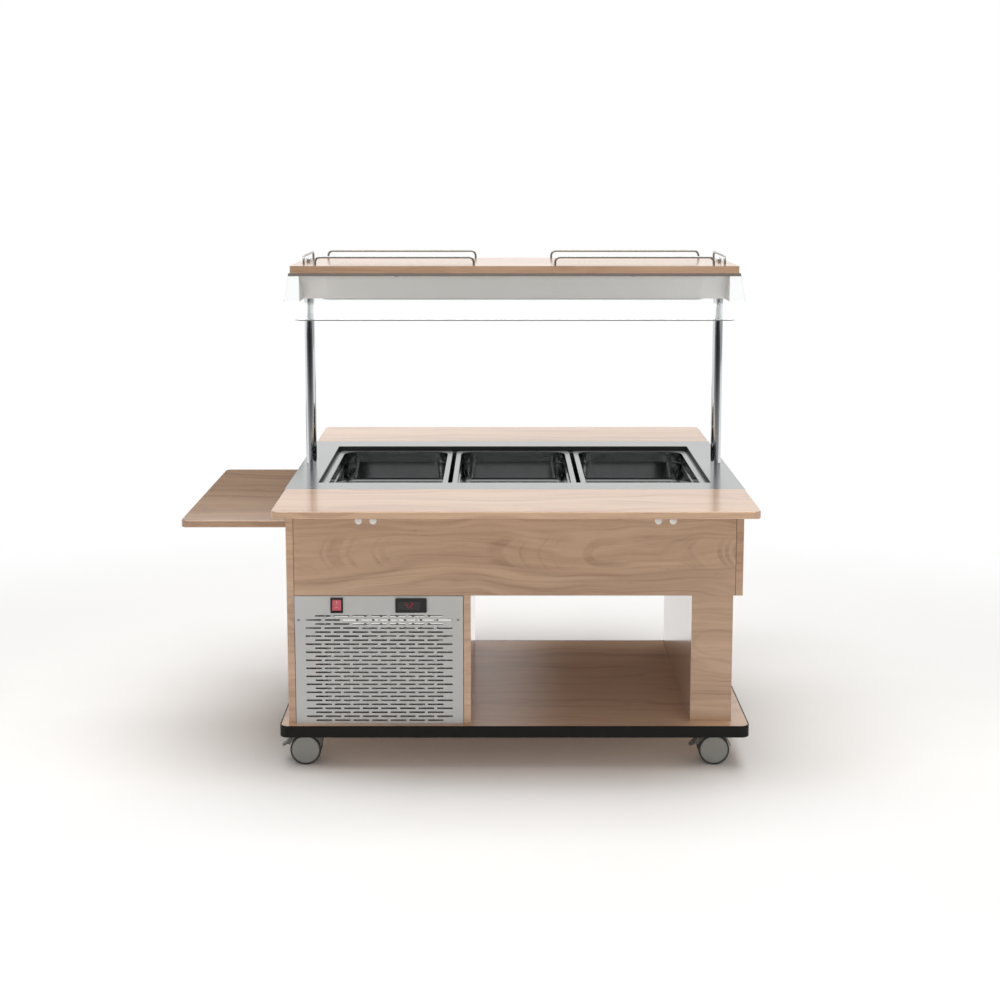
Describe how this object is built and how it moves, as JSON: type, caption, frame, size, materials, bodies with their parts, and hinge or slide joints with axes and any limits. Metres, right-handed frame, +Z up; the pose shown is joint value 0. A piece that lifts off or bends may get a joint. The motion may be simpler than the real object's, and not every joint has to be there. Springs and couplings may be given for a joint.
{
  "type": "mobile refrigerated salad bar",
  "caption": "Mobile refrigerated salad bar: laminated body on castors, cold well with food pans, lit canopy with clear guards on two posts, folding trays and side shelf.",
  "frame": {"origin": "centre of the footprint's bounding box, on the floor under the castors", "axes": "+X along the length towards the box leg, away from the side shelf; +Y towards the rear; +Z up"},
  "size_m": [1.456, 1.254, 1.317],
  "materials": {
    "wood_laminate": "satin light-oak laminate",
    "edge_band": "matt black band",
    "stainless_sheet": "brushed",
    "chromed_tube": "polished",
    "clear_sheet": "clear",
    "grille_paint": "satin grey paint",
    "housing_paint": "satin grey paint",
    "light_lens": "opal",
    "black_plastic": "matt black",
    "red_rocker": "gloss red",
    "display_lens": "dark red window",
    "brass_fitting": "cast and turned",
    "red_vinyl": "red dipped",
    "zinc_plate": "zinc grey",
    "compressor_shell": "black enamel",
    "coil_fins": "mill finish",
    "motor_case": "dark enamel",
    "fan_alloy": "mill finish",
    "copper_tube": "drawn copper colour",
    "castor_grey": "moulded grey",
    "castor_wheel": "moulded grey with a dark tread"
  },
  "bodies": {
    "cart": {"base_deck": "wood_laminate", "deck_edging": "edge_band", "left_side_panel": "wood_laminate", "right_end_panel": "wood_laminate", "front_apron": "wood_laminate", "rear_apron": "wood_laminate", "box_floor": "wood_laminate", "cabinet_partition": "wood_laminate", "right_leg": "wood_laminate", "top_frame": "stainless_sheet", "cold_well": "stainless_sheet", "well_floor": "stainless_sheet", "drain_valve": "brass_fitting", "front_grille": "grille_paint", "rear_grille": "grille_paint", "switch_bezel": "black_plastic", "controller_case": "black_plastic", "controller_display": "display_lens", "cable_gland": "black_plastic", "unit_base": "zinc_plate", "compressor": "compressor_shell", "condenser_coil": "coil_fins", "fan_shroud": "zinc_plate", "fan_motor": "motor_case", "refrigerant_pipes": "copper_tube", "left_post": "chromed_tube", "right_post": "chromed_tube", "tie_rods": "chromed_tube", "canopy_board": "wood_laminate", "light_housing": "housing_paint", "light_diffuser": "light_lens", "front_guard": "clear_sheet", "rear_guard": "clear_sheet", "gallery_rails": "chromed_tube", "hinge_brackets": "zinc_plate", "castor_plates": "zinc_plate"},
    "front_tray": {"front_tray": "wood_laminate", "front_tray_arms": "chromed_tube"},
    "rear_tray": {"rear_tray": "wood_laminate", "rear_tray_arms": "chromed_tube"},
    "side_shelf": {"side_shelf": "wood_laminate", "side_shelf_arms": "chromed_tube"},
    "pan_left": {"pan_left": "stainless_sheet"},
    "pan_middle": {"pan_middle": "stainless_sheet"},
    "pan_right": {"pan_right": "stainless_sheet"},
    "switch_rocker": {"switch_rocker": "red_rocker"},
    "condenser_fan": {"fan_blades": "fan_alloy"},
    "drain_lever": {"drain_lever": "red_vinyl"},
    "castor_front_left": {"castor_front_left_hood": "castor_grey"},
    "wheels_front_left": {"castor_front_left_wheels": "castor_wheel"},
    "pedal_front_left": {"castor_front_left_pedal": "castor_grey"},
    "castor_front_right": {"castor_front_right_hood": "castor_grey"},
    "wheels_front_right": {"castor_front_right_wheels": "castor_wheel"},
    "pedal_front_right": {"castor_front_right_pedal": "castor_grey"},
    "castor_rear_left": {"castor_rear_left_hood": "castor_grey"},
    "wheels_rear_left": {"castor_rear_left_wheels": "castor_wheel"},
    "pedal_rear_left": {"castor_rear_left_pedal": "castor_grey"},
    "castor_rear_right": {"castor_rear_right_hood": "castor_grey"},
    "wheels_rear_right": {"castor_rear_right_wheels": "castor_wheel"},
    "pedal_rear_right": {"castor_rear_right_pedal": "castor_grey"}
  },
  "joints": [
    {"name": "front_tray_fold", "type": "hinge", "parent": "cart", "child": "front_tray", "pos_m": [0.123, -0.372, 0.7113], "axis": [1, 0, 0], "range_deg": [0, 90]},
    {"name": "rear_tray_fold", "type": "hinge", "parent": "cart", "child": "rear_tray", "pos_m": [0.123, 0.372, 0.7113], "axis": [-1, 0, 0], "range_deg": [0, 90]},
    {"name": "side_shelf_fold", "type": "hinge", "parent": "cart", "child": "side_shelf", "pos_m": [-0.475, 0, 0.6283], "axis": [0, -1, 0], "range_deg": [0, 90]},
    {"name": "pan_left_lift", "type": "slide", "parent": "cart", "child": "pan_left", "axis": [0, 0, 1], "range_m": [0, 0.25]},
    {"name": "pan_middle_lift", "type": "slide", "parent": "cart", "child": "pan_middle", "axis": [0, 0, 1], "range_m": [0, 0.25]},
    {"name": "pan_right_lift", "type": "slide", "parent": "cart", "child": "pan_right", "axis": [0, 0, 1], "range_m": [0, 0.25]},
    {"name": "switch_rock", "type": "hinge", "parent": "cart", "child": "switch_rocker", "pos_m": [-0.332, -0.3525, 0.4365], "axis": [1, 0, 0], "range_deg": [0, 18]},
    {"name": "fan_spin", "type": "hinge", "parent": "cart", "child": "condenser_fan", "pos_m": [-0.2245, -0.176, 0.2145], "axis": [0, 1, 0], "continuous": true},
    {"name": "drain_turn", "type": "hinge", "parent": "cart", "child": "drain_lever", "pos_m": [0.373, -0.0343, 0.43], "axis": [0, 1, 0], "range_deg": [0, 90]},
    {"name": "swivel_front_left", "type": "hinge", "parent": "cart", "child": "castor_front_left", "pos_m": [-0.41, -0.2985, 0.08], "axis": [0, 0, 1], "continuous": true},
    {"name": "roll_front_left", "type": "hinge", "parent": "castor_front_left", "child": "wheels_front_left", "pos_m": [-0.422, -0.2985, 0.04], "axis": [0, 1, 0], "continuous": true},
    {"name": "brake_front_left", "type": "hinge", "parent": "castor_front_left", "child": "pedal_front_left", "pos_m": [-0.46526, -0.2985, 0.05836], "axis": [0, -1, 0], "range_deg": [0, 18]},
    {"name": "swivel_front_right", "type": "hinge", "parent": "cart", "child": "castor_front_right", "pos_m": [0.656, -0.2985, 0.08], "axis": [0, 0, 1], "continuous": true},
    {"name": "roll_front_right", "type": "hinge", "parent": "castor_front_right", "child": "wheels_front_right", "pos_m": [0.644, -0.2985, 0.04], "axis": [0, 1, 0], "continuous": true},
    {"name": "brake_front_right", "type": "hinge", "parent": "castor_front_right", "child": "pedal_front_right", "pos_m": [0.60074, -0.2985, 0.05836], "axis": [0, -1, 0], "range_deg": [0, 18]},
    {"name": "swivel_rear_left", "type": "hinge", "parent": "cart", "child": "castor_rear_left", "pos_m": [-0.41, 0.2985, 0.08], "axis": [0, 0, 1], "continuous": true},
    {"name": "roll_rear_left", "type": "hinge", "parent": "castor_rear_left", "child": "wheels_rear_left", "pos_m": [-0.422, 0.2985, 0.04], "axis": [0, 1, 0], "continuous": true},
    {"name": "brake_rear_left", "type": "hinge", "parent": "castor_rear_left", "child": "pedal_rear_left", "pos_m": [-0.46526, 0.2985, 0.05836], "axis": [0, -1, 0], "range_deg": [0, 18]},
    {"name": "swivel_rear_right", "type": "hinge", "parent": "cart", "child": "castor_rear_right", "pos_m": [0.656, 0.2985, 0.08], "axis": [0, 0, 1], "continuous": true},
    {"name": "roll_rear_right", "type": "hinge", "parent": "castor_rear_right", "child": "wheels_rear_right", "pos_m": [0.644, 0.2985, 0.04], "axis": [0, 1, 0], "continuous": true},
    {"name": "brake_rear_right", "type": "hinge", "parent": "castor_rear_right", "child": "pedal_rear_right", "pos_m": [0.60074, 0.2985, 0.05836], "axis": [0, -1, 0], "range_deg": [0, 18]}
  ]
}
